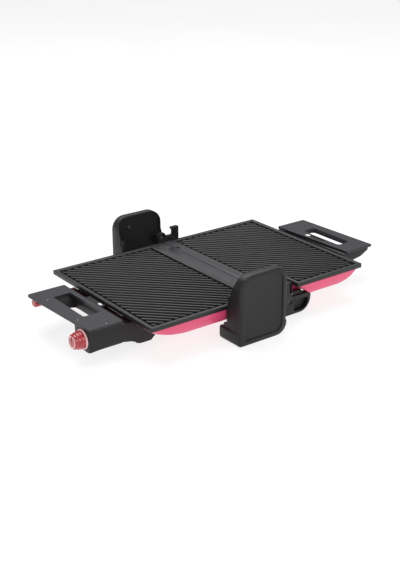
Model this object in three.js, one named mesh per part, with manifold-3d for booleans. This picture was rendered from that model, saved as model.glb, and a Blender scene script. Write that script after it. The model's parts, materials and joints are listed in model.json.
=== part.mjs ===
// Fold-flat panini press, opened to 180 degrees with both ridged plates facing up.
// Millimetres. +X runs from the base half to the lid half, +Y along the hinge, +Z up.
import * as THREE from 'three';
import { mergeVertices } from 'three/addons/utils/BufferGeometryUtils.js';
import Module from 'manifold-3d';

const wasm = await Module();
wasm.setup();
const { Manifold, Mesh: ManifoldMesh } = wasm;

// ---- driving dimensions --------------------------------------------------------------
const WIDTH = 300;            // trays along the hinge
const BASE_LEN = 232;         // base tray, hinge line to outer edge
const LID_LEN = 217;          // lid tray, hinge line to outer edge
const RIM_Z = 62;             // top of both rims above the table
const RIM_H = 7;              // height of the rim band
const LIP = 3;                // width of the raised rim around a plate
const GAP = 0.6;              // half the slit between the two trays
const RUN = 0.1;              // radial gap of a shaft in its bore
const CLEAR = 0.35;           // running gap between neighbouring pieces
const SHELL_BOTTOM = 34;
const WALL = 2.5;
const BASE_STRIP = 28;        // flat strip beside the slit, base side
const LID_STRIP = 18.4;       // flat strip beside the slit, lid side
const NOTCH_X = 66;           // lid corner cleared for the near arm
const NOTCH_Y = 27;
const RIDGE_PITCH = 10;
const RIDGE_TOP = 3.6;        // flat crest width
const RIDGE_FOOT = 6.6;
const RIDGE_H = 3;
const PLATE_BOTTOM = 56.6;
const PIVOT_Z = RIM_Z + (15 + 1) / 2;   // half the float travel above the rims
const PIN_R = 5;
const PILLAR = { x0: -88, x1: 10, top: 120, outer: -35, blade: 15, r: 24 };
const HANDLE = { y0: 60, y1: 240, top: 58.5, gap: 12, len: 62 };
const TIP = { base: [62, 70.5], lid: [73, 66] };      // handle depth at its near and far end
const GRIP = {                                        // finger opening in each handle
  base: { in: 10, out: 42, y0: 108, y1: 204 },
  lid: { in: 21, out: 49, y0: 94, y1: 191 },
};
const KNOB = { y: 80, z: 36, r: 14.8 };
const FOOT = { x: -200, y: 83 };
const SLOT = { x: 61, r: 1.9, near: [37.2, 58.8], far: [33.6, 52.6] };
const ROD = { x: 61, z: 24, r: 3.2 };
const SHIFT = [13, -WIDTH / 2, 0];                      // brings the footprint centre to the origin

// ---- materials -----------------------------------------------------------------------
const COLOR = {
  shell: 0xe8487f, dark: 0x37373a, grey: 0x5a5960, plate: 0x3a393d, steel: 0x9a9a9e,
  red: 0x8e1626, pale: 0xf0b7ba, white: 0xe8e8e6, rubber: 0x1d1d1f, alu: 0xb9babd,
};
const ROUGH = { shell: 0.35, dark: 0.6, grey: 0.5, plate: 0.55, steel: 0.3, red: 0.2, pale: 0.4,
  white: 0.5, rubber: 0.9, alu: 0.4 };

// ---- geometry helpers ----------------------------------------------------------------
const solid = (geometry) => {
  const g = geometry.clone();
  g.deleteAttribute('normal');
  g.deleteAttribute('uv');
  const m = mergeVertices(g, 1e-4);
  return new Manifold(new ManifoldMesh({
    numProp: 3,
    vertProperties: new Float32Array(m.attributes.position.array),
    triVerts: new Uint32Array(m.index.array),
  }));
};

const box = (x0, x1, y0, y1, z0, z1) => {
  const g = new THREE.BoxGeometry(x1 - x0, y1 - y0, z1 - z0);
  return solid(g.translate((x0 + x1) / 2, (y0 + y1) / 2, (z0 + z1) / 2));
};

// polygon [[a, b, radius], ...] with rounded corners, counter-clockwise
const rounded = (pts, seg = 6) => {
  const out = [];
  pts.forEach(([a, b, r], i) => {
    if (!r) { out.push(new THREE.Vector2(a, b)); return; }
    const n = pts.length;
    const p = new THREE.Vector2(a, b);
    const u = new THREE.Vector2(...pts[(i + n - 1) % n]).sub(p).normalize();
    const v = new THREE.Vector2(...pts[(i + 1) % n]).sub(p).normalize();
    const half = Math.acos(Math.min(1, Math.max(-1, u.dot(v)))) / 2;
    const reach = r / Math.tan(half);
    const mid = u.clone().add(v).normalize().multiplyScalar(r / Math.sin(half)).add(p);
    const from = u.multiplyScalar(reach).add(p).sub(mid);
    const to = v.multiplyScalar(reach).add(p).sub(mid);
    const a0 = Math.atan2(from.y, from.x);
    let da = Math.atan2(to.y, to.x) - a0;
    if (da > Math.PI) da -= 2 * Math.PI;
    if (da < -Math.PI) da += 2 * Math.PI;
    for (let k = 0; k <= seg; k += 1) {
      const t = a0 + (da * k) / seg;
      out.push(new THREE.Vector2(mid.x + r * Math.cos(t), mid.y + r * Math.sin(t)));
    }
  });
  return new THREE.Shape(out);
};

const extrude = (shape, depth, bevel = 0) => new THREE.ExtrudeGeometry(shape, {
  depth: depth - 2 * bevel, bevelEnabled: bevel > 0, bevelSize: bevel, bevelThickness: bevel,
  bevelOffset: -bevel, bevelSegments: 2, curveSegments: 6, steps: 1,
}).translate(0, 0, bevel);

const alongZ = (pts, z0, z1, bevel = 0) =>
  solid(extrude(rounded(pts), z1 - z0, bevel).translate(0, 0, z0));
const alongY = (pts, y0, y1, bevel = 0) =>          // pts are (x, z)
  solid(extrude(rounded(pts), y1 - y0, bevel).rotateX(Math.PI / 2).translate(0, y1, 0));
const alongX = (pts, x0, x1, bevel = 0) => {        // pts are (y, z)
  const turn = new THREE.Matrix4().makeBasis(new THREE.Vector3(0, 1, 0),
    new THREE.Vector3(0, 0, 1), new THREE.Vector3(1, 0, 0));
  return solid(extrude(rounded(pts), x1 - x0, bevel).applyMatrix4(turn).translate(x0, 0, 0));
};

const rect = (a0, a1, b0, b1, r = 0) => [[a0, b0, r], [a1, b0, r], [a1, b1, r], [a0, b1, r]];

// solid of revolution about +X, +Y or +Z; profile is [[radius, height], ...] from axis to axis
const turned = (profile, axis, x, y, z, seg = 32) => {
  const g = new THREE.LatheGeometry(profile.map(([r, h]) => new THREE.Vector2(r, h)), seg);
  if (axis === 'x') g.rotateZ(-Math.PI / 2);
  if (axis === 'z') g.rotateX(Math.PI / 2);
  return solid(g.translate(x, y, z));
};
const rod = (axis, r, h, x, y, z, seg = 24) =>
  turned([[0, 0], [r, 0], [r, h], [0, h]], axis, x, y, z, seg);

// block with a different rectangle at its foot and at its top
const frustum = (top, bottom, z0, z1) => {
  const ring = ([x0, x1, y0, y1], z) => [x0, y0, z, x1, y0, z, x1, y1, z, x0, y1, z];
  const g = new THREE.BufferGeometry();
  g.setAttribute('position', new THREE.Float32BufferAttribute([
    ...ring(bottom, z0), ...ring(top, z1)], 3));
  g.setIndex([0, 2, 1, 0, 3, 2, 4, 5, 6, 4, 6, 7, 0, 1, 5, 0, 5, 4, 1, 2, 6, 1, 6, 5,
    2, 3, 7, 2, 7, 6, 3, 0, 4, 3, 4, 7]);
  return solid(g);
};

// closed skin over a stack of equal-length loops of [x, y, z]
const loft = (loops) => {
  const n = loops[0].length;
  const pos = loops.flat(2);
  const idx = [];
  for (let k = 0; k + 1 < loops.length; k += 1) {
    for (let i = 0; i < n; i += 1) {
      const j = (i + 1) % n;
      const [a, b, c, d] = [k * n + i, k * n + j, (k + 1) * n + i, (k + 1) * n + j];
      idx.push(a, b, d, a, d, c);
    }
  }
  const top = (loops.length - 1) * n;
  for (let i = 1; i + 1 < n; i += 1) idx.push(0, i + 1, i, top, top + i, top + i + 1);
  const g = new THREE.BufferGeometry();
  g.setAttribute('position', new THREE.Float32BufferAttribute(pos, 3));
  g.setIndex(idx);
  return solid(g);
};

const flipY = (m) => {                              // mirror image across the middle of the width
  const mesh = m.getMesh();
  const p = mesh.vertProperties.slice();
  for (let i = 1; i < p.length; i += mesh.numProp) p[i] = WIDTH - p[i];
  const t = mesh.triVerts.slice();
  for (let i = 0; i < t.length; i += 3) [t[i + 1], t[i + 2]] = [t[i + 2], t[i + 1]];
  return new Manifold(new ManifoldMesh({ numProp: mesh.numProp, vertProperties: p, triVerts: t }));
};

const press = new THREE.Group();
press.name = 'panini_press';

const put = (name, shape, look) => {
  const m = shape.getMesh();
  const pos = new Float32Array((m.vertProperties.length / m.numProp) * 3);
  for (let i = 0; i < pos.length / 3; i += 1) {
    for (let k = 0; k < 3; k += 1) pos[3 * i + k] = m.vertProperties[i * m.numProp + k] + SHIFT[k];
  }
  const g = new THREE.BufferGeometry();
  g.setAttribute('position', new THREE.BufferAttribute(pos, 3));
  g.setIndex(new THREE.BufferAttribute(new Uint32Array(m.triVerts), 1));
  g.computeVertexNormals();
  const metal = ['steel', 'alu', 'plate'].includes(look) ? 0.8 : 0;
  const mesh = new THREE.Mesh(g, new THREE.MeshStandardMaterial({
    color: COLOR[look], roughness: ROUGH[look], metalness: metal }));
  mesh.name = name;
  press.add(mesh);
};

// ---- trays ---------------------------------------------------------------------------
// s is the side of the hinge: -1 for the base half, +1 for the lid half
const span = (s, a, b) => (s < 0 ? [-b, -a] : [a, b]);

const nearNotch = (grow) => box(-5, NOTCH_X + grow, -5, NOTCH_Y + grow, 20, 70);
// clearance under the lid tray for an arm: slants up and inward from the tray floor
const armBay = (grow) => alongY([[-5, 20], [100 + grow, 20], [100 + grow, SHELL_BOTTOM + grow],
  [73 + grow, 54], [68 + grow, 70], [-5, 70]], -5, NOTCH_Y + grow);
// [height, inset of the outer end, inset of the sides, corner radius] from the floor up
const TUB = [[34, 38, 7, 26], [35.5, 27, 4.6, 25], [39, 16, 3.1, 24], [44, 8.5, 2.2, 21],
  [50, 4, 1.7, 18], [RIM_Z - RIM_H - CLEAR, 2, 1.5, 15]];
const END_SLOPE = 1.55;       // the outer end of the base tub leans in this much more

// the tub as a full block; grow moves its sides out, lift raises its floor
function tub(s, len, grow, lift, top) {
  const lean = s < 0 ? END_SLOPE : 1;
  const levels = TUB.map(([z, e, w, r]) => [z + lift, e * lean - grow, w - grow, r]);
  levels[levels.length - 1][0] = top;
  return loft(levels.map(([z, end, side, r]) => {
    const [x0, x1] = span(s, GAP + 1.5 - grow, len - end);
    const [rl, rr] = s < 0 ? [r, 3] : [3, r];
    return rounded([[x0, side, rl], [x1, side, rr], [x1, WIDTH - side, rr],
      [x0, WIDTH - side, rl]]).getPoints().map((v) => [v.x, v.y, z]);
  }));
}

function trayShell(s, len) {
  const top = TUB[TUB.length - 1][0];
  let outer = tub(s, len, 0, 0, top);
  let hollow = tub(s, len, -1.6, WALL, top + 1);
  if (s > 0) {
    for (const bay of [(g) => armBay(g), (g) => flipY(armBay(g))]) {
      outer = outer.subtract(bay(0));
      hollow = hollow.subtract(bay(WALL));
    }
  }
  return outer.subtract(hollow);
}

function trayFrame(s, len, strip) {
  const z0 = RIM_Z - RIM_H;
  const [x0, x1] = span(s, GAP, len);
  let frame = alongZ(rect(x0, x1, 0, WIDTH, 2), z0, RIM_Z);
  const [w0, w1] = span(s, strip, len - LIP);
  let well = box(w0, w1, LIP, WIDTH - LIP, PLATE_BOTTOM - CLEAR, RIM_Z + 1);
  const [h0, h1] = span(s, strip + 7, len - LIP - 7);
  let window_ = box(h0, h1, LIP + 7, WIDTH - LIP - 7, z0 - 1, RIM_Z);
  if (s > 0) {
    frame = frame.subtract(nearNotch(0));
    well = well.subtract(nearNotch(LIP));
    window_ = window_.subtract(nearNotch(LIP + 7));
  }
  // catch slot in the flat strip
  const c = s < 0 ? -9 : 6;
  const slot = box(c - 2.5, c + 2.5, 255, 266, RIM_Z - 2, RIM_Z + 1);
  return frame.subtract(well).subtract(window_).subtract(slot);
}

function ridges(x0, x1, y0, y1) {
  const foot = RIM_Z - 0.8 - RIDGE_H;
  const diag = Math.SQRT1_2;
  const reach = 400;
  let all = null;
  const span_ = (x1 - x0 + y1 - y0) * diag;
  const n = Math.floor(span_ / RIDGE_PITCH);
  for (let i = 0; i <= n; i += 1) {
    const off = (i + 0.5) * RIDGE_PITCH;
    const shape = new THREE.Shape([
      new THREE.Vector2(-RIDGE_FOOT / 2, -1), new THREE.Vector2(RIDGE_FOOT / 2, -1),
      new THREE.Vector2(RIDGE_TOP / 2, RIDGE_H), new THREE.Vector2(-RIDGE_TOP / 2, RIDGE_H)]);
    const g = extrude(shape, reach).translate(0, 0, -reach / 2);
    // section stands up; the run points along (+X, -Y)
    g.applyMatrix4(new THREE.Matrix4().makeBasis(new THREE.Vector3(diag, diag, 0),
      new THREE.Vector3(0, 0, 1), new THREE.Vector3(diag, -diag, 0)));
    g.translate(x0 + off * diag, y0 + off * diag, foot);
    const one = solid(g);
    all = all ? all.add(one) : one;
  }
  return all;
}

function grillPlate(s, len, strip) {
  const [x0, x1] = span(s, strip + CLEAR, len - LIP - CLEAR);
  const y0 = LIP + CLEAR;
  const y1 = WIDTH - LIP - CLEAR;
  const foot = RIM_Z - 0.8 - RIDGE_H;
  const rim = 3.2;
  let base = box(x0, x1, y0, y1, PLATE_BOTTOM, RIM_Z);
  let field = box(x0 + rim, x1 - rim, y0 + rim, y1 - rim, foot, RIM_Z + 1);
  let ribs = ridges(x0, x1, y0, y1).intersect(
    box(x0 + rim + 3, x1 - rim - 3, y0 + rim + 3, y1 - rim - 3, foot - 0.5, RIM_Z));
  if (s > 0) {
    const cut = nearNotch(LIP + CLEAR);
    base = base.subtract(cut);
    field = field.subtract(nearNotch(LIP + CLEAR + rim));
    ribs = ribs.subtract(nearNotch(LIP + CLEAR + rim + 3));
  }
  return base.subtract(field).add(ribs);
}

// thin pan that follows the inside of the tub
function reflector(s, len) {
  let pan = tub(s, len, -3, 4.5, 60).intersect(box(-400, 400, -10, WIDTH + 10, 0, 49));
  let well = tub(s, len, -4.2, 5.7, 60);
  if (s > 0) {
    for (const side of [(m) => m, flipY]) {
      pan = pan.subtract(side(box(0, 112, -5, 38, 20, 70)));
      well = well.subtract(side(box(0, 113.2, -5, 39.2, 20, 70)));
    }
  }
  return pan.subtract(well);
}

function heater(s, len) {
  const [x0, x1] = span(s, 48, len - 40);
  const a = s < 0 ? x0 : x1;                 // outer side, where both ends sit
  const b = s < 0 ? x1 : x0;
  const z = 46.5;
  const y = (t) => 60 + t * (WIDTH - 120);
  const inset = s < 0 ? b : b + 70;          // lid element keeps clear of the arm bays
  const pts = [[a, y(0.42)], [a, y(0)], [b, y(0)], [b, y(0.25)], [inset * 0.5 + a * 0.5, y(0.3)],
    [inset * 0.5 + a * 0.5, y(0.7)], [b, y(0.75)], [b, y(1)], [a, y(1)], [a, y(0.58)]];
  const path = new THREE.CurvePath();
  const v = pts.map(([px, py]) => new THREE.Vector3(px, py, z));
  let from = v[0];
  for (let i = 1; i < v.length - 1; i += 1) {
    const inD = v[i].clone().sub(v[i - 1]).setLength(12);
    const outD = v[i + 1].clone().sub(v[i]).setLength(12);
    const p = v[i].clone().sub(inD);
    const q = v[i].clone().add(outD);
    path.add(new THREE.LineCurve3(from, p));
    path.add(new THREE.QuadraticBezierCurve3(p, v[i], q));
    from = q;
  }
  path.add(new THREE.LineCurve3(from, v[v.length - 1]));
  const ring = [];
  for (let k = 0; k < 8; k += 1) {
    ring.push(new THREE.Vector2(3.2 * Math.cos((k * Math.PI) / 4), 3.2 * Math.sin((k * Math.PI) / 4)));
  }
  const g = new THREE.ExtrudeGeometry(new THREE.Shape(ring), {
    steps: 56, extrudePath: path, bevelEnabled: false });
  return solid(g);
}

// ---- handles -------------------------------------------------------------------------
const buttonX = (s, len) => (s < 0 ? -(len + 6.5) : len + 27);
// room for the release button, which moves down through it
const buttonSlot = (s, len) => box(buttonX(s, len) - 4.4, buttonX(s, len) + 4.4, 125.5, 174.5,
  49.6, 90);
const sideName = (s) => (s < 0 ? 'base' : 'lid');
const handleZ = (s) => (s < 0 ? HANDLE.top : HANDLE.top + 2.5);   // the lid handle sits higher
const handleX = (s, len, a) => s * (len + HANDLE.gap + (s > 0 ? 2 : 0) + a);

function gripOpening(s, len, grow) {
  const grip = GRIP[sideName(s)];
  const [x0, x1] = [handleX(s, len, grip.in - grow), handleX(s, len, grip.out + grow)].sort(
    (p, q) => p - q);
  return alongZ(rect(x0, x1, grip.y0 - grow, grip.y1 + grow, s < 0 ? 3 : 7), 0, 90);
}

// the base opening narrows like a scoop on its way down
function gripScoop(s, len) {
  const { y0, y1 } = GRIP.base;
  const x = (a) => handleX(s, len, a);
  const top = HANDLE.top - 4;
  const foot = [x(28), x(9), y0 + 17, y1 - 19];
  return frustum([x(43.2), x(8.8), y0 - 1.2, y1 + 1.2], foot, 34, top)
    .add(alongZ(rect(...foot, 3), 5, 34.1));
}

function handleTop(s, len) {
  const x = (a) => handleX(s, len, a);
  const [near, far] = TIP[sideName(s)];
  const r = s < 0 ? 4 : 2.5;
  const skew = s < 0 ? 0 : 9;                              // inner edge of the lid handle runs askew
  const outline = [[x(skew), HANDLE.y0, 2], [x(near), HANDLE.y0, r], [x(far), HANDLE.y1, r],
    [x(0), HANDLE.y1, 2]];
  if (s < 0) outline.reverse();
  const slab = alongZ(outline, handleZ(s) - 4.5, handleZ(s), 0.9);
  return slab.subtract(gripOpening(s, len, 0)).subtract(buttonSlot(s, len));
}

// side view of a leg: down the cheek, under the tray and onto the foot
const legProfile = (x0, z0) => [[x0, z0], [-255, Math.max(22, z0)], [-229, 17, 6],
  [FOOT.x - 9, 8.6, 3], [FOOT.x + 9, 8.6, 3], [FOOT.x + 16, 15, 4], [-176, 20, 6],
  [-174, 33.6], [-174, 49.5], [x0, 49.5]];

function handleBody(s, len) {
  const top = handleZ(s) - 4.5 - CLEAR;
  const a = (t) => handleX(s, len, t);
  const tip = s < 0 ? 60 : 65;
  const grip = GRIP[sideName(s)];
  const wedge = [[a(1.5), top], [a(tip), top], [a(tip - 1), top - 4],
    [a(grip.out - 2), top - 13], [a(8), 37], [a(-26), 37], [a(-26), 49.5], [a(1.5), 49.5]];
  let m = alongY(s < 0 ? wedge : wedge.slice().reverse(), HANDLE.y0 + 1.5, HANDLE.y1 - 1.5);
  if (s < 0) {
    // control cheek that carries the thermostat, and the two legs
    const front = a(61.5);
    const cheek = alongX([[HANDLE.y0 + 1.5, 17.5, 4], [GRIP.base.y0 - 5, 17.5, 4],
      [GRIP.base.y0 - 5, top], [HANDLE.y0 + 1.5, top]], front, a(1.5));
    m = m.add(cheek);
    m = m.add(alongY(legProfile(front + 2, 18), HANDLE.y0 + 1.5, GRIP.base.y0 - 5));
    m = m.add(alongY(legProfile(-252, 37), HANDLE.y1 - 40, HANDLE.y1 - 1.5));
    m = m.subtract(gripScoop(s, len));
    const room = alongX(rect(HANDLE.y0 + 4, GRIP.base.y0 - 7.5, 20.5, 49.8, 3),
      front + 3, a(12));
    m = m.subtract(room).subtract(rod('x', 4.3, 20, front - 5, KNOB.y, KNOB.z));
    for (const y of [FOOT.y, WIDTH - FOOT.y]) m = m.subtract(rod('z', 5.2, 8, FOOT.x, y, 4.5));
    m = m.subtract(powerLamp(CLEAR));
  } else {
    m = m.subtract(gripOpening(s, len, 1.2));
    // the handle is thin beside its opening, so the underside is cut back
    m = m.subtract(box(a(grip.in), a(58), grip.y0, grip.y1 + 30, 20, 51));
  }
  m = m.subtract(tub(s, len, CLEAR, -CLEAR, 60));
  // slot for the release button and the well of its spring
  return m.subtract(buttonSlot(s, len)).subtract(
    rod('z', 4.4, 20, buttonX(s, len), WIDTH / 2, 40));
}

// small round lens under the outer edge of the base handle
function powerLamp(grow) {
  const lead = grow ? 2 : 0;                               // extra reach of the pocket
  const top = HANDLE.top - 4.5 - CLEAR + lead;
  const r = 7.5 + grow;
  const depth = 17 + grow + lead;
  return turned([[0, 0], [r - 2, 0], [r, 2], [r, depth], [0, depth]], 'x',
    handleX(-1, BASE_LEN, 67) - lead, 226, 46.5, 28).intersect(box(-400, 0, 200, 260, 0, top));
}

function releaseButton(s, len) {
  const bx = buttonX(s, len);
  const w = 4;
  const top = handleZ(s) - 0.9;
  const cap = alongZ(rect(bx - w, bx + w, 126, 174, 1.6), top - 4.4, top, 0.7);
  return cap.add(rod('z', 1.8, top - 47.2, bx, WIDTH / 2, 43.6, 16));
}

function coilSpring(s, len) {
  const bx = buttonX(s, len);
  const pts = [];
  const turns = 4;
  for (let i = 0; i <= turns * 12; i += 1) {
    const t = (i / 12) * 2 * Math.PI;
    pts.push(new THREE.Vector3(bx + 3.1 * Math.cos(t), WIDTH / 2 + 3.1 * Math.sin(t),
      41 + ((handleZ(s) - 47.5) * i) / (turns * 12)));
  }
  const ring = [];
  for (let k = 0; k < 6; k += 1) {
    ring.push(new THREE.Vector2(0.5 * Math.cos((k * Math.PI) / 3), 0.5 * Math.sin((k * Math.PI) / 3)));
  }
  return solid(new THREE.ExtrudeGeometry(new THREE.Shape(ring), {
    steps: turns * 12, extrudePath: new THREE.CatmullRomCurve3(pts), bevelEnabled: false }));
}

// ---- pillars, arms and hinge ---------------------------------------------------------
const pillarFace = (inset) => {
  const p = PILLAR;
  return [[p.x0 + inset, inset, 8], [p.x1 - inset, inset, 22 - inset],
    [p.x1 - inset, p.top - inset, p.r - inset], [p.x0 + inset, p.top - inset, p.r - inset]];
};

function pillarNear() {
  const p = PILLAR;
  const side = [[p.outer, 0], [13, 0], [14, 24], [8, 25.5], [4, 32.5], [-2, 33], [-2, 64],
    [-8, 78], [p.outer + p.blade, 108], [p.outer + p.blade, 125], [p.outer, 125]];
  const base = alongY([[p.x0 - 2, 0, 8], [p.x1 + 2.5, 0, 20], [p.x1 + 2.5, 25, 4],
    [p.x0 - 2, 25, 4]], p.outer + 1, 30, 1.5);
  let m = alongY(pillarFace(0), p.outer, 30, 2.5).add(base)
    .intersect(alongX(side, -120, 40));
  // hollow, open toward the trays
  m = m.subtract(alongY(pillarFace(3.2), p.outer + 5, 40).intersect(
    alongX([[p.outer + 5, 3.2], [40, 3.2], [40, 125], [p.outer + 5, 125]], -120, 40)));
  // dished outer face
  m = m.subtract(alongY(pillarFace(8.5), p.outer - 3, p.outer + 1.6));
  // boss that carries the hinge pin
  m = m.add(rod('y', 9, 20, 0, p.outer + 4, PIVOT_Z).intersect(
    alongY(pillarFace(1), p.outer, 20)));
  m = m.subtract(rod('y', PIN_R + RUN, 40, 0, p.outer + 3.5, PIVOT_Z));
  m = m.subtract(box(-48, 30, -19.5, 60, 36, 140)).subtract(box(-130, 50, 13.5, 60, -5, 200));
  // web at the arm side and a guide rib beside the base tray
  const web = alongY([[7, 62], [17.5, 62], [13.5, 70], [11, 80], [9.9, 84], [7, 84]],
    p.outer + 11, p.outer + 15.4);
  return m.add(web).add(box(p.x0 + 1.5, p.x0 + 8.5, -12, -3, 56, 80));
}

function pillarCover() {
  const plate = alongY(pillarFace(3.6), -24, -21.5).intersect(box(-200, 100, -60, 60, 3.6, 200));
  return plate.subtract(rod('y', 9.5, 40, 0, -40, PIVOT_Z));
}

function hingePin() {
  return turned([[0, 0], [PIN_R, 0], [PIN_R, 28], [PIN_R - 1, 29], [0, 29]],
    'y', 0, PILLAR.outer + 4, PIVOT_Z, 28);
}

function armPlate(side) {
  const hooked = side === 'far';
  const [slot0, slot1] = SLOT[side];
  const foot = alongY([[22, 0.2, 4], [108, 0.2, 24], [108, 33.4, 5], [22, 33.4, 4]], 12, 24, 1);
  const dish = alongY([[70, 5, 3], [102, 5, 15], [102, 25.5, 4], [70, 25.5, 3]], 4, 20);
  // low rib that closes the gap between the foot and the tray floor
  const rib = alongY([[60, 30], [98, 30], [97, 33.4], [88, 40], [60, 40]], 16, 22);
  const tower = alongY(rect(42, 64.5, 10, slot1 + 1.8, 2), 12, 22, 0.8);
  const web = box(9, 46, -8.4, 22, 40, 50);
  const ear = alongY([[6, 40], [38, 40, 2], [38, PIVOT_Z + 1, 2], [10, PIVOT_Z + 1, 3],
    [6, PIVOT_Z + 9, 4], [-9, PIVOT_Z + 9, 8.5], [-9, PIVOT_Z - 9, 8.5]], -8.4, -1.6);
  let m = foot.subtract(dish).add(rib).add(tower).add(web).add(ear);
  if (hooked) {
    m = m.add(alongY([[25, 60], [38, 60], [38, 86, 1.5], [22, 86, 1.5], [22, 82], [25, 80]],
      -8.4, -1.6));
  }
  m = m.subtract(alongY(rect(SLOT.x - SLOT.r, SLOT.x + SLOT.r, slot0, slot1, 1.8), -20, 60));
  m = m.subtract(rod('y', ROD.r + RUN, 60, ROD.x, -20, ROD.z));
  return m.subtract(rod('y', PIN_R + RUN, 60, 0, -40, PIVOT_Z));
}

// headed pin on the lid tray that rides in the arm slot
const guidePin = (side) => turned([[0, 0], [2.8, 0], [2.8, 1.5], [1.5, 1.5], [1.5, 16.8], [0, 16.8]],
  'y', SLOT.x, 10.2 - CLEAR, SLOT[side][0] + 1.85, 20);

const crossRod = () => turned([[0, 0], [ROD.r, 0], [ROD.r, WIDTH - 28], [0, WIDTH - 28]],
  'y', ROD.x, 14, ROD.z, 20);

const screw = (x, z) => turned([[0, 0], [3.4, 0], [3.4, 1.2], [2.6, 1.9], [0, 1.9]],
  'y', x, -21.2, z, 16);

const footPad = () =>
  turned([[0, 0], [6.4, 0], [7.2, 0.8], [7.2, 8.2], [4.8, 8.2], [4.8, 12], [0, 12]],
    'z', FOOT.x, FOOT.y, 0, 28);

// ---- thermostat ----------------------------------------------------------------------
const FRONT_X = handleX(-1, BASE_LEN, 61.5);               // outer face of the control cheek

const bezel = () => turned([[0, 0], [KNOB.r + 0.9, 0], [KNOB.r + 1.8, 0.9],
  [KNOB.r + 1.8, 2.6], [0, 2.6]], 'x',
  FRONT_X - CLEAR - 2.6, KNOB.y, KNOB.z, 40).subtract(rod('x', 4.3, 20, FRONT_X - 12, KNOB.y,
  KNOB.z));

function knob() {
  const r = KNOB.r;
  const x0 = FRONT_X - 19.5;
  const dial = turned([[0, 0], [r - 4, 0], [r - 2.5, 1.6], [r - 2.5, 5], [r - 1, 6.4],
    [r - 1, 10], [r, 11.4], [r, 15.8], [3.2, 15.8], [3.2, 34], [0, 34]], 'x',
  x0, KNOB.y, KNOB.z, 36);
  const pointer = box(x0 - 1, x0 + 1.2, KNOB.y - 1, KNOB.y + 1, KNOB.z, KNOB.z + r - 5);
  return dial.subtract(pointer);
}
const thermostat = () => box(FRONT_X + 5, FRONT_X + 22, KNOB.y - 12, KNOB.y + 12,
  KNOB.z - 12, KNOB.z + 12).subtract(rod('x', 3.2 + RUN, 14, FRONT_X + 2, KNOB.y, KNOB.z));

// ---- assembly ------------------------------------------------------------------------
put('base_shell', trayShell(-1, BASE_LEN), 'shell');
put('base_frame', trayFrame(-1, BASE_LEN, BASE_STRIP), 'grey');
put('base_plate', grillPlate(-1, BASE_LEN, BASE_STRIP), 'plate');
put('base_reflector', reflector(-1, BASE_LEN), 'alu');
put('base_heater', heater(-1, BASE_LEN), 'steel');
put('base_handle_top', handleTop(-1, BASE_LEN), 'grey');
put('base_handle_body', handleBody(-1, BASE_LEN), 'dark');
put('base_release_button', releaseButton(-1, BASE_LEN), 'dark');
put('base_button_spring', coilSpring(-1, BASE_LEN), 'steel');
put('thermostat_bezel', bezel(), 'pale');
put('thermostat_body', thermostat(), 'white');
put('thermostat_knob', knob(), 'red');
put('power_lamp', powerLamp(0), 'red');

put('lid_shell', trayShell(1, LID_LEN), 'shell');
put('lid_frame', trayFrame(1, LID_LEN, LID_STRIP), 'grey');
put('lid_plate', grillPlate(1, LID_LEN, LID_STRIP), 'plate');
put('lid_reflector', reflector(1, LID_LEN), 'alu');
put('lid_heater', heater(1, LID_LEN), 'steel');
put('lid_handle_top', handleTop(1, LID_LEN), 'grey');
put('lid_handle_body', handleBody(1, LID_LEN), 'dark');
put('lid_release_button', releaseButton(1, LID_LEN), 'white');
put('lid_button_spring', coilSpring(1, LID_LEN), 'steel');

const sides = { near: (m) => m, far: flipY };
for (const [side, place] of Object.entries(sides)) {
  put(`pillar_${side}`, place(pillarNear()), 'dark');
  put(`pillar_cover_${side}`, place(pillarCover()), 'dark');
  put(`hinge_pin_${side}`, place(hingePin()), 'steel');
  put(`arm_${side}`, place(armPlate(side)), 'dark');
  put(`guide_pin_${side}`, place(guidePin(side)), 'steel');
  put(`foot_pad_${side}`, place(footPad()), 'rubber');
  put(`cover_screw_upper_${side}`, place(screw(-60, 98)), 'steel');
  put(`cover_screw_lower_${side}`, place(screw(-60, 44)), 'steel');
}
put('cross_rod', crossRod(), 'steel');

export default press;
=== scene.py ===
import json
import math
import bmesh
import bpy
from mathutils import Matrix, Vector


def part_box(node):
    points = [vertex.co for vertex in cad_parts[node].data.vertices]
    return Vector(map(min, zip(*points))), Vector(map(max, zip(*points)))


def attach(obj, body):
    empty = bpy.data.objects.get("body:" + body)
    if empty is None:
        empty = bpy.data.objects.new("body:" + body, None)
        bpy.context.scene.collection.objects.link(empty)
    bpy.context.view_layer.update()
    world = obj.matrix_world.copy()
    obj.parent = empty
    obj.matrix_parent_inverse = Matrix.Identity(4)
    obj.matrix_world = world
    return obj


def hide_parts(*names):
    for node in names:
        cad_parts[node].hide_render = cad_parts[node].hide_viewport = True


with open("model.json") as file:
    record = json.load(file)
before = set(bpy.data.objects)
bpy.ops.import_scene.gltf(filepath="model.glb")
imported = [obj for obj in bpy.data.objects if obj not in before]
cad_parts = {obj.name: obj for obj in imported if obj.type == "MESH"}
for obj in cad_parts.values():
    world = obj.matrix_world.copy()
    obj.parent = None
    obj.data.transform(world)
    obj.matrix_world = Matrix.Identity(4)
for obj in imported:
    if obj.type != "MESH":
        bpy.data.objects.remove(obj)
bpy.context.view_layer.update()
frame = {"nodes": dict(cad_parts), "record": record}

MM = 0.001
HINGE_X = 13.0        # hinge line and near edge of the trays, row-frame millimetres
NEAR_Y = -150.0
HINGE_STRIP = (-28.0, 18.4)    # flat strips beside the slit, from the hinge line
NOTCH = (69.35, 30.35)         # inner corner of the lid plate notch
RIDGE_PITCH = 10.0
RIM_Z = 62.0
FLOOR_Z = 57.2
CREST_Z = 61.2
DIAG = math.sqrt(0.5)          # the ridges run at 45 degrees to the hinge
RIDGE_HALF = 3.1
END_MARGIN = 6.6               # from the plate edge to the ridge ends
SHORTEST_RIDGE = 7.0
SMOOTH_BELOW = 40.0            # degrees
PLATE_BOTTOM = 56.6
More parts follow.
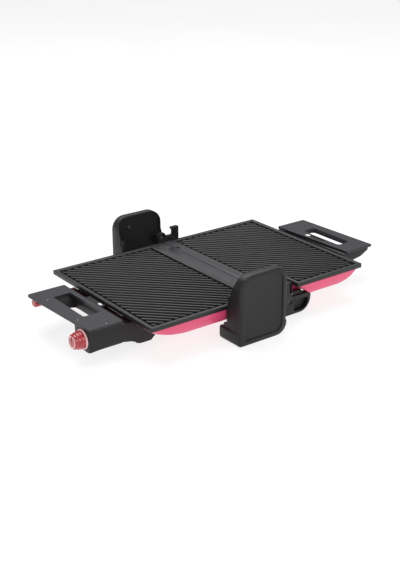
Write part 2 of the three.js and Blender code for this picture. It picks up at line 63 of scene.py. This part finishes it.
NODES = frame["nodes"]


def row(x, y, z):
    """Hinge-line millimetres to row-frame metres."""
    return Vector(((x + HINGE_X) * MM, (y + NEAR_Y) * MM, z * MM))


# ---------------------------------------------------------------- materials
def shader(name):
    mat = bpy.data.materials.new(name)
    mat.use_nodes = True
    tree = mat.node_tree
    tree.nodes.clear()
    out = tree.nodes.new("ShaderNodeOutputMaterial")
    bsdf = tree.nodes.new("ShaderNodeBsdfPrincipled")
    tree.links.new(bsdf.outputs[0], out.inputs[0])
    return mat, tree, bsdf


def noise(tree, scale, detail=3.0, rough=0.5, stretch=None):
    coord = tree.nodes.new("ShaderNodeTexCoord")
    source = coord.outputs["Object"]
    if stretch:
        mapping = tree.nodes.new("ShaderNodeMapping")
        mapping.inputs["Scale"].default_value = stretch
        tree.links.new(source, mapping.inputs["Vector"])
        source = mapping.outputs[0]
    node = tree.nodes.new("ShaderNodeTexNoise")
    node.inputs["Scale"].default_value = scale
    node.inputs["Detail"].default_value = detail
    node.inputs["Roughness"].default_value = rough
    tree.links.new(source, node.inputs["Vector"])
    return node.outputs["Fac"]


def ramp(tree, fac, stops):
    node = tree.nodes.new("ShaderNodeValToRGB")
    node.color_ramp.elements[0].position = stops[0][0]
    node.color_ramp.elements[0].color = (*stops[0][1], 1)
    node.color_ramp.elements[1].position = stops[-1][0]
    node.color_ramp.elements[1].color = (*stops[-1][1], 1)
    for pos, col in stops[1:-1]:
        e = node.color_ramp.elements.new(pos)
        e.color = (*col, 1)
    tree.links.new(fac, node.inputs[0])
    return node.outputs[0]


def span_value(tree, fac, lo, hi):
    node = tree.nodes.new("ShaderNodeMapRange")
    node.inputs["To Min"].default_value = lo
    node.inputs["To Max"].default_value = hi
    tree.links.new(fac, node.inputs["Value"])
    return node.outputs[0]


def bump(tree, bsdf, fac, strength, distance):
    node = tree.nodes.new("ShaderNodeBump")
    node.inputs["Strength"].default_value = strength
    node.inputs["Distance"].default_value = distance
    tree.links.new(fac, node.inputs["Height"])
    tree.links.new(node.outputs[0], bsdf.inputs["Normal"])


def moulded(name, color, rough=0.5, vary=0.12, grain=2600.0, depth=0.00006, metallic=0.0,
            coat=0.0, spec=0.5):
    """Moulded or coated surface: slow tone drift, fine grain and slightly uneven sheen."""
    mat, tree, bsdf = shader(name)
    slow = noise(tree, 9.0, 4.0)
    dark = tuple(c * (1 - vary) for c in color)
    light = tuple(min(1.0, c * (1 + vary)) for c in color)
    tree.links.new(ramp(tree, slow, [(0.3, dark), (0.7, light)]), bsdf.inputs["Base Color"])
    sheen = noise(tree, 55.0, 5.0, 0.6)
    tree.links.new(span_value(tree, sheen, rough - 0.07, rough + 0.07), bsdf.inputs["Roughness"])
    bump(tree, bsdf, noise(tree, grain, 2.0), 0.35, depth)
    bsdf.inputs["Metallic"].default_value = metallic
    bsdf.inputs["Coat Weight"].default_value = coat
    bsdf.inputs["Coat Roughness"].default_value = 0.15
    bsdf.inputs["Specular IOR Level"].default_value = spec
    return mat


def frame_finish(name, dark, light, x0, x1):
    """Dark rim that turns lighter on the flat strips beside the hinge."""
    mat = moulded(name, dark, 0.36, 0.08, spec=0.4)
    tree = mat.node_tree
    bsdf = next(n for n in tree.nodes if n.type == "BSDF_PRINCIPLED")
    coord = tree.nodes.new("ShaderNodeTexCoord")
    split = tree.nodes.new("ShaderNodeSeparateXYZ")
    tree.links.new(coord.outputs["Object"], split.inputs[0])

    def step(op, limit):
        node = tree.nodes.new("ShaderNodeMath")
        node.operation = op
        tree.links.new(split.outputs["X"], node.inputs[0])
        node.inputs[1].default_value = limit
        return node.outputs[0]

    both = tree.nodes.new("ShaderNodeMath")
    both.operation = "MULTIPLY"
    tree.links.new(step("GREATER_THAN", x0), both.inputs[0])
    tree.links.new(step("LESS_THAN", x1), both.inputs[1])
    pale = ramp(tree, noise(tree, 12.0, 4.0), [(0.3, tuple(c * 0.93 for c in light)), (0.7, light)])
    mix = tree.nodes.new("ShaderNodeMix")
    mix.data_type = "RGBA"
    old = bsdf.inputs["Base Color"].links[0].from_socket
    tree.links.new(both.outputs[0], mix.inputs["Factor"])
    rgba = [i for i in mix.inputs if i.type == "RGBA"]
    tree.links.new(old, rgba[0])
    tree.links.new(pale, rgba[1])
    tree.links.new([o for o in mix.outputs if o.type == "RGBA"][0], bsdf.inputs["Base Color"])
    return mat


def plate_finish(name, groove_shade, crest_highlight):
    """Coated casting: painted shade, dark and dull, low in the grooves; painted highlight on the
    crests.
    """
    mat, tree, bsdf = shader(name)
    coord = tree.nodes.new("ShaderNodeTexCoord")
    split = tree.nodes.new("ShaderNodeSeparateXYZ")
    tree.links.new(coord.outputs["Object"], split.inputs[0])
    height = tree.nodes.new("ShaderNodeMapRange")
    height.inputs["From Min"].default_value = (FLOOR_Z + 0.8) * MM
    height.inputs["From Max"].default_value = (CREST_Z - 0.1) * MM
    tree.links.new(split.outputs["Z"], height.inputs["Value"])
    # height mask with a little random mottling: painted shade in the grooves, painted highlight on
    # the crests
    shade_and_mottle = tree.nodes.new("ShaderNodeMath")
    shade_and_mottle.operation = "MULTIPLY_ADD"
    tree.links.new(span_value(tree, noise(tree, 160.0, 5.0, 0.6), -0.1, 0.1), shade_and_mottle.inputs[0])
    shade_and_mottle.inputs[1].default_value = 1.0
    tree.links.new(height.outputs[0], shade_and_mottle.inputs[2])
    mid = tuple((a + b) * 0.3 for a, b in zip(groove_shade, crest_highlight))
    tree.links.new(ramp(tree, shade_and_mottle.outputs[0], [(0.1, groove_shade), (0.6, mid), (0.95, crest_highlight)]),
                   bsdf.inputs["Base Color"])
    tree.links.new(span_value(tree, noise(tree, 55.0, 5.0, 0.6), 0.36, 0.5),
                   bsdf.inputs["Roughness"])
    # reflection turned down low in the grooves: painted shade
    tree.links.new(span_value(tree, height.outputs[0], 0.08, 0.5),
                   bsdf.inputs["Specular IOR Level"])
    bump(tree, bsdf, noise(tree, 1800.0, 2.0), 0.35, 0.00008)
    return mat


def worked_metal(name, color, rough, stretch):
    """Drawn or rolled metal with fine marks along one way."""
    mat, tree, bsdf = shader(name)
    lines = noise(tree, 900.0, 4.0, 0.6, stretch)
    dark = tuple(c * 0.8 for c in color)
    tree.links.new(ramp(tree, lines, [(0.35, dark), (0.65, color)]), bsdf.inputs["Base Color"])
    tree.links.new(span_value(tree, lines, rough - 0.06, rough + 0.1), bsdf.inputs["Roughness"])
    bump(tree, bsdf, lines, 0.2, 0.00003)
    bsdf.inputs["Metallic"].default_value = 1.0
    return mat


def tinted(name, color):
    """Deep-coloured glossy plastic with a slightly cloudy tone."""
    mat, tree, bsdf = shader(name)
    cloud = noise(tree, 140.0, 3.0)
    dark = tuple(c * 0.75 for c in color)
    tree.links.new(ramp(tree, cloud, [(0.35, dark), (0.65, color)]), bsdf.inputs["Base Color"])
    tree.links.new(span_value(tree, cloud, 0.12, 0.24), bsdf.inputs["Roughness"])
    bump(tree, bsdf, noise(tree, 1500.0, 2.0), 0.15, 0.00003)
    bsdf.inputs["IOR"].default_value = 1.46
    bsdf.inputs["Coat Weight"].default_value = 0.7
    return mat


DIAL = row(-325.0, 80.0, 36.0)          # centre of the dial's outer face


def dial_finish(name, color, ring):
    """Tinted dial with a pale ring printed on its face."""
    mat = tinted(name, color)
    tree = mat.node_tree
    bsdf = next(n for n in tree.nodes if n.type == "BSDF_PRINCIPLED")
    coord = tree.nodes.new("ShaderNodeTexCoord")
    away = tree.nodes.new("ShaderNodeVectorMath")
    away.operation = "SUBTRACT"
    away.inputs[1].default_value = DIAL
    tree.links.new(coord.outputs["Object"], away.inputs[0])
    flat = tree.nodes.new("ShaderNodeVectorMath")
    flat.operation = "MULTIPLY"
    flat.inputs[1].default_value = (0, 1, 1)
    tree.links.new(away.outputs[0], flat.inputs[0])
    radius = tree.nodes.new("ShaderNodeVectorMath")
    radius.operation = "LENGTH"
    tree.links.new(flat.outputs[0], radius.inputs[0])
    split = tree.nodes.new("ShaderNodeSeparateXYZ")
    tree.links.new(away.outputs[0], split.inputs[0])

    def band(value, centre, half_width):
        node = tree.nodes.new("ShaderNodeMath")
        node.operation = "COMPARE"
        tree.links.new(value, node.inputs[0])
        node.inputs[1].default_value = centre
        node.inputs[2].default_value = half_width
        return node.outputs[0]

    both = tree.nodes.new("ShaderNodeMath")
    both.operation = "MULTIPLY"
    tree.links.new(band(radius.outputs["Value"], 9.0 * MM, 1.0 * MM), both.inputs[0])
    tree.links.new(band(split.outputs["X"], 0.0, 0.4 * MM), both.inputs[1])
    mix = tree.nodes.new("ShaderNodeMix")
    mix.data_type = "RGBA"
    rgba = [i for i in mix.inputs if i.type == "RGBA"]
    tree.links.new(both.outputs[0], mix.inputs[0])
    tree.links.new(bsdf.inputs["Base Color"].links[0].from_socket, rgba[0])
    tree.links.new(ramp(tree, noise(tree, 90.0), [(0.3, tuple(c * 0.94 for c in ring)),
                                                  (0.7, ring)]), rgba[1])
    tree.links.new([o for o in mix.outputs if o.type == "RGBA"][0], bsdf.inputs["Base Color"])
    return mat


MATS = {
    "pink_shell": moulded("pink_shell_finish", (0.72, 0.072, 0.175), 0.36, 0.05, 1400.0, 0.00003,
                          coat=0.25),
    "grey_frame": frame_finish("grey_frame_finish", (0.013, 0.013, 0.0145), (0.034, 0.033, 0.038),
                               *((HINGE_X + x) * MM for x in HINGE_STRIP)),
    "grey_handle": moulded("grey_handle_finish", (0.022, 0.021, 0.028), 0.40, 0.10, spec=0.4),
    # plate groove colour is painted shade, crest colour is a painted highlight
    "plate_coating": plate_finish("plate_coating_finish", (0.0035, 0.003, 0.003),
                                  (0.030, 0.029, 0.031)),
    "reflector": worked_metal("reflector_finish", (0.62, 0.62, 0.63), 0.3, (1, 0.08, 1)),
    "heater_steel": worked_metal("heater_finish", (0.30, 0.29, 0.28), 0.42, (1, 1, 0.3)),
    "bright_steel": worked_metal("steel_finish", (0.16, 0.16, 0.17), 0.34, (0.3, 1, 1)),
    "pale_ring": moulded("pale_ring_finish", (0.86, 0.50, 0.51), 0.3, 0.05, 1200.0, coat=0.3),
    "ceramic_white": moulded("ceramic_finish", (0.75, 0.74, 0.70), 0.7, 0.06, 900.0, 0.0001),
    "red_knob": dial_finish("red_knob_finish", (0.42, 0.012, 0.024), (0.85, 0.5, 0.5)),
    "white_latch": moulded("white_latch_finish", (0.78, 0.78, 0.77), 0.45, 0.04),
    "rubber": moulded("rubber_finish", (0.02, 0.02, 0.021), 0.85, 0.15, 1500.0, 0.00015),
    "dark_plastic": moulded("dark_plastic_finish", (0.012, 0.0112, 0.0115), 0.42, 0.12, 2600.0,
                            0.00008, spec=0.3),
}

slot_of = {s["node"]: s["material_slot"] for s in frame["record"]["subparts"]}

BEVELS = {  # millimetres
    "base_shell": 1.2, "lid_shell": 1.2, "base_frame": 0.8, "lid_frame": 0.8,
    "base_handle_body": 1.2, "lid_handle_body": 1.2, "pillar_near": 1.0, "pillar_far": 1.0,
    "arm_near": 0.7, "arm_far": 0.7,
}


def dress(node, width):
    """Softens a CAD node's edges without touching its own mesh."""
    obj = NODES[node]
    weld = obj.modifiers.new("weld", "WELD")
    weld.merge_threshold = 0.00001
    dec = obj.modifiers.new("flat", "DECIMATE")
    dec.decimate_type = "DISSOLVE"
    dec.angle_limit = math.radians(0.6)
    bev = obj.modifiers.new("edge", "BEVEL")
    bev.width = width * MM
    bev.segments = 3
    bev.limit_method = "ANGLE"
    bev.angle_limit = math.radians(32)
    bev.use_clamp_overlap = True
    bev.harden_normals = False
    smooth_by_angle(obj)


def smooth_by_angle(obj):
    """Keeps edges sharper than SMOOTH_BELOW and smooths the rest."""
    tree = bpy.data.node_groups.get("soft_edges")
    if tree is None:
        tree = bpy.data.node_groups.new("soft_edges", "GeometryNodeTree")
        tree.interface.new_socket("Geometry", in_out="INPUT", socket_type="NodeSocketGeometry")
        tree.interface.new_socket("Geometry", in_out="OUTPUT", socket_type="NodeSocketGeometry")
        gin = tree.nodes.new("NodeGroupInput")
        gout = tree.nodes.new("NodeGroupOutput")
        angle = tree.nodes.new("GeometryNodeInputMeshEdgeAngle")
        less = tree.nodes.new("FunctionNodeCompare")
        less.operation = "LESS_THAN"
        less.inputs[1].default_value = math.radians(SMOOTH_BELOW)
        face = tree.nodes.new("GeometryNodeSetShadeSmooth")
        edge = tree.nodes.new("GeometryNodeSetShadeSmooth")
        edge.domain = "EDGE"
        tree.links.new(gin.outputs[0], face.inputs["Geometry"])
        tree.links.new(face.outputs[0], edge.inputs["Geometry"])
        tree.links.new(angle.outputs["Unsigned Angle"], less.inputs[0])
        tree.links.new(less.outputs[0], edge.inputs["Shade Smooth"])
        tree.links.new(edge.outputs[0], gout.inputs[0])
    mod = obj.modifiers.new("soft_edges", "NODES")
    mod.node_group = tree


for name, obj in NODES.items():
    obj.data.materials.clear()
    obj.data.materials.append(MATS[slot_of[name]])
    if name in BEVELS:
        dress(name, BEVELS[name])
    else:
        smooth_by_angle(obj)


# ---------------------------------------------------------------- new pieces
def piece(name, verts, faces, slot, body, replaces=()):
    """New visible piece in row-frame metres, riding on a body."""
    mesh = bpy.data.meshes.new(name)
    mesh.from_pydata([tuple(v) for v in verts], [], faces)
    bm = bmesh.new()
    bm.from_mesh(mesh)
    bmesh.ops.remove_doubles(bm, verts=bm.verts, dist=1e-6)
    bmesh.ops.recalc_face_normals(bm, faces=bm.faces)
    bm.to_mesh(mesh)
    bm.free()
    for p in mesh.polygons:
        p.use_smooth = True
    obj = bpy.data.objects.new(name, mesh)
    bpy.context.scene.collection.objects.link(obj)
    mesh.materials.append(MATS[slot])
    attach(obj, body)
    if replaces:
        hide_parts(*replaces)
    return obj


def ridge_profile(half):
    """Rounded ridge section as (across, height share) pairs."""
    return [(-half, 0.0), (-half * 0.86, 0.12), (-half * 0.66, 0.62), (-half * 0.48, 0.9),
            (-half * 0.24, 0.99), (0.0, 1.0), (half * 0.24, 0.99), (half * 0.48, 0.9),
            (half * 0.66, 0.62), (half * 0.86, 0.12), (half, 0.0)]


def grill_plate(name, node, body, notch):
    """Cast plate with a raised rim and diagonal ridges; notch is the cleared corner."""
    lo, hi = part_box(node)
    x0, x1 = lo.x / MM - HINGE_X, hi.x / MM - HINGE_X
    y0, y1 = lo.y / MM - NEAR_Y, hi.y / MM - NEAR_Y
    verts, faces = [], []

    def outline(inset, z):
        a, b, c, d = x0 + inset, x1 - inset, y0 + inset, y1 - inset
        if notch:
            nx, ny = notch[0] + inset, notch[1] + inset
            pts = [(nx, c), (b, c), (b, d), (a, d), (a, ny), (nx, ny)]
        else:
            pts = [(a, c), (b, c), (b, d), (a, d)]
        return [row(x, y, z) for x, y in pts]

    loops = [outline(0.0, PLATE_BOTTOM), outline(0.0, 61.5), outline(0.35, 61.9), outline(0.9, RIM_Z),
             outline(2.3, RIM_Z), outline(2.9, 61.8), outline(3.4, 61.0),
             outline(4.2, FLOOR_Z + 0.4), outline(5.0, FLOOR_Z)]
    for loop in loops:
        verts += loop
    n = len(loops[0])
    for k in range(len(loops) - 1):
        for i in range(n):
            j = (i + 1) % n
            faces.append((k * n + i, k * n + j, (k + 1) * n + j, (k + 1) * n + i))
    faces.append(tuple(range((len(loops) - 1) * n, len(loops) * n)))
    faces.append(tuple(reversed(range(n))))

    inset = END_MARGIN
    a, b, c, d = x0 + inset, x1 - inset, y0 + inset, y1 - inset
    count = int((x1 - x0 + y1 - y0) * DIAG / RIDGE_PITCH)
    for i in range(count + 1):
        off = (i + 0.5) * RIDGE_PITCH
        px, py = x0 + off * DIAG, y0 + off * DIAG
        # run along (+X, -Y): parameter t in millimetres
        t0 = max((a - px) / DIAG, (py - d) / DIAG)
        t1 = min((b - px) / DIAG, (py - c) / DIAG)
        spans = [(t0, t1)]
        if notch:
            nx, ny = notch[0] + inset, notch[1] + inset
            # the ridge is over the notch between ta and tb
            ta = (py - ny) / DIAG
            tb = (nx - px) / DIAG
            if ta < tb:
                spans = [(t0, min(t1, ta)), (max(t0, tb), t1)]
        for s0, s1 in spans:
            if s1 - s0 < SHORTEST_RIDGE:
                continue
            prof = ridge_profile(RIDGE_HALF)
            m = len(prof)
            stations = [(s0, 0.0, 0.55), (s0 + 0.6, 0.45, 0.8), (s0 + 1.6, 0.85, 0.95),
                        (s0 + 3.0, 1.0, 1.0), (s1 - 3.0, 1.0, 1.0), (s1 - 1.6, 0.85, 0.95),
                        (s1 - 0.6, 0.45, 0.8), (s1, 0.0, 0.55)]
            base = len(verts)
            for t, high, wide in stations:
                for u, h in prof:
                    x = px + t * DIAG + u * wide * DIAG
                    y = py - t * DIAG + u * wide * DIAG
                    verts.append(row(x, y, FLOOR_Z - 0.05 + h * high * (CREST_Z - FLOOR_Z)))
            for k in range(len(stations) - 1):
                for q in range(m - 1):
                    faces.append((base + k * m + q, base + k * m + q + 1,
                                  base + (k + 1) * m + q + 1, base + (k + 1) * m + q))
    obj = piece(name, verts, faces, "plate_coating", body, (node,))
    smooth_by_angle(obj)
    return obj


grill_plate("base_plate_cast", "base_plate", "base", None)
grill_plate("lid_plate_cast", "lid_plate", "lid", NOTCH)


def pill(name, x0, x1, y0, y1, z0, z1, slot, body, round_=0.6):
    """Small moulded block with rounded top edges."""
    verts, faces = [], []
    steps = [(0.0, z0), (0.0, z1 - round_), (round_ * 0.3, z1 - round_ * 0.3), (round_, z1)]
    for inset, z in steps:
        a, b, c, d = x0 + inset, x1 - inset, y0 + inset, y1 - inset
        k = min(0.8, (x1 - x0) / 4)
        ring = [(a + k, c), (b - k, c), (b, c + k), (b, d - k), (b - k, d), (a + k, d),
                (a, d - k), (a, c + k)]
        verts += [row(x, y, z) for x, y in ring]
    for k in range(len(steps) - 1):
        for i in range(8):
            j = (i + 1) % 8
            faces.append((k * 8 + i, k * 8 + j, (k + 1) * 8 + j, (k + 1) * 8 + i))
    faces.append(tuple(reversed(range(8))))
    faces.append(tuple(range((len(steps) - 1) * 8, len(steps) * 8)))
    return piece(name, verts, faces, slot, body)


pill("base_button_tab", -241.5, -236.5, 131, 139.5, 57.3, 58.1, "white_latch", "base_button")
pill("lid_button_block", 240.6, 247.4, 163.5, 173.5, 59.8, 60.8, "white_latch", "lid_button")
for k, (x, y) in enumerate(((-299, 199), (-300, 103), (-271, 65))):
    pill(f"mark_dot_{k}", x - 0.7, x + 0.7, y - 0.7, y + 0.7, 58.4, 58.6, "white_latch", "base",
         0.1)


# ---------------------------------------------------------------- floor, light, camera
def floor_material():
    mat, tree, bsdf = shader("floor_finish")
    tree.links.new(ramp(tree, noise(tree, 3.0), [(0.3, (0.24, 0.24, 0.24)),
                                                 (0.7, (0.26, 0.26, 0.26))]),
                   bsdf.inputs["Base Color"])
    bsdf.inputs["Roughness"].default_value = 0.9
    bsdf.inputs["Specular IOR Level"].default_value = 0.1
    # the table gives off light of its own, so shadows on it stay faint
    bsdf.inputs["Emission Color"].default_value = (1, 1, 1, 1)
    bsdf.inputs["Emission Strength"].default_value = 0.80
    return mat


mesh = bpy.data.meshes.new("floor")
half = 12.0
mesh.from_pydata([(-half, -half, 0), (half, -half, 0), (half, half, 0), (-half, half, 0)], [],
                 [(0, 1, 2, 3)])
floor = bpy.data.objects.new("floor", mesh)
mesh.materials.append(floor_material())
bpy.context.scene.collection.objects.link(floor)


def area(name, place, target, size, power, color=(1, 1, 1)):
    light = bpy.data.lights.new(name, "AREA")
    light.shape = "RECTANGLE"
    light.size, light.size_y = size
    light.energy = power
    light.color = color
    obj = bpy.data.objects.new(name, light)
    obj.location = place
    obj.rotation_euler = (Vector(target) - Vector(place)).to_track_quat("-Z", "Y").to_euler()
    bpy.context.scene.collection.objects.link(obj)


area("top_soft", (0.3, 0.9, 2.2), (0, 0, 0), (2.6, 2.2), 60)
area("left_fill", (-2.6, -0.6, 1.1), (0, 0, 0.05), (1.8, 1.6), 15)
area("front_fill", (0.6, -2.8, 1.3), (0, 0, 0.05), (2.4, 1.6), 30)

world = bpy.data.worlds.new("studio")
world.use_nodes = True
backdrop = world.node_tree.nodes["Background"]
backdrop.inputs[0].default_value = (1, 1, 1, 1)
path = world.node_tree.nodes.new("ShaderNodeLightPath")
level = world.node_tree.nodes.new("ShaderNodeMapRange")
level.inputs["To Min"].default_value = 0.38      # what lights the press
level.inputs["To Max"].default_value = 1.0       # what shows behind it
world.node_tree.links.new(path.outputs["Is Camera Ray"], level.inputs["Value"])
world.node_tree.links.new(level.outputs[0], backdrop.inputs[1])
bpy.context.scene.world = world

cam_data = bpy.data.cameras.new("camera")
cam_data.lens = 64.32
cam_data.sensor_width = 36
cam_data.clip_end = 50
cam = bpy.data.objects.new("camera", cam_data)
cam.location = Vector((-1.0023, -1.3054, 0.7167))
aim = Vector((0.5572, 0.7355, -0.3855))
cam.rotation_euler = aim.to_track_quat("-Z", "Y").to_euler()
bpy.context.scene.collection.objects.link(cam)
bpy.context.scene.camera = cam
bpy.context.scene.view_settings.view_transform = "Standard"
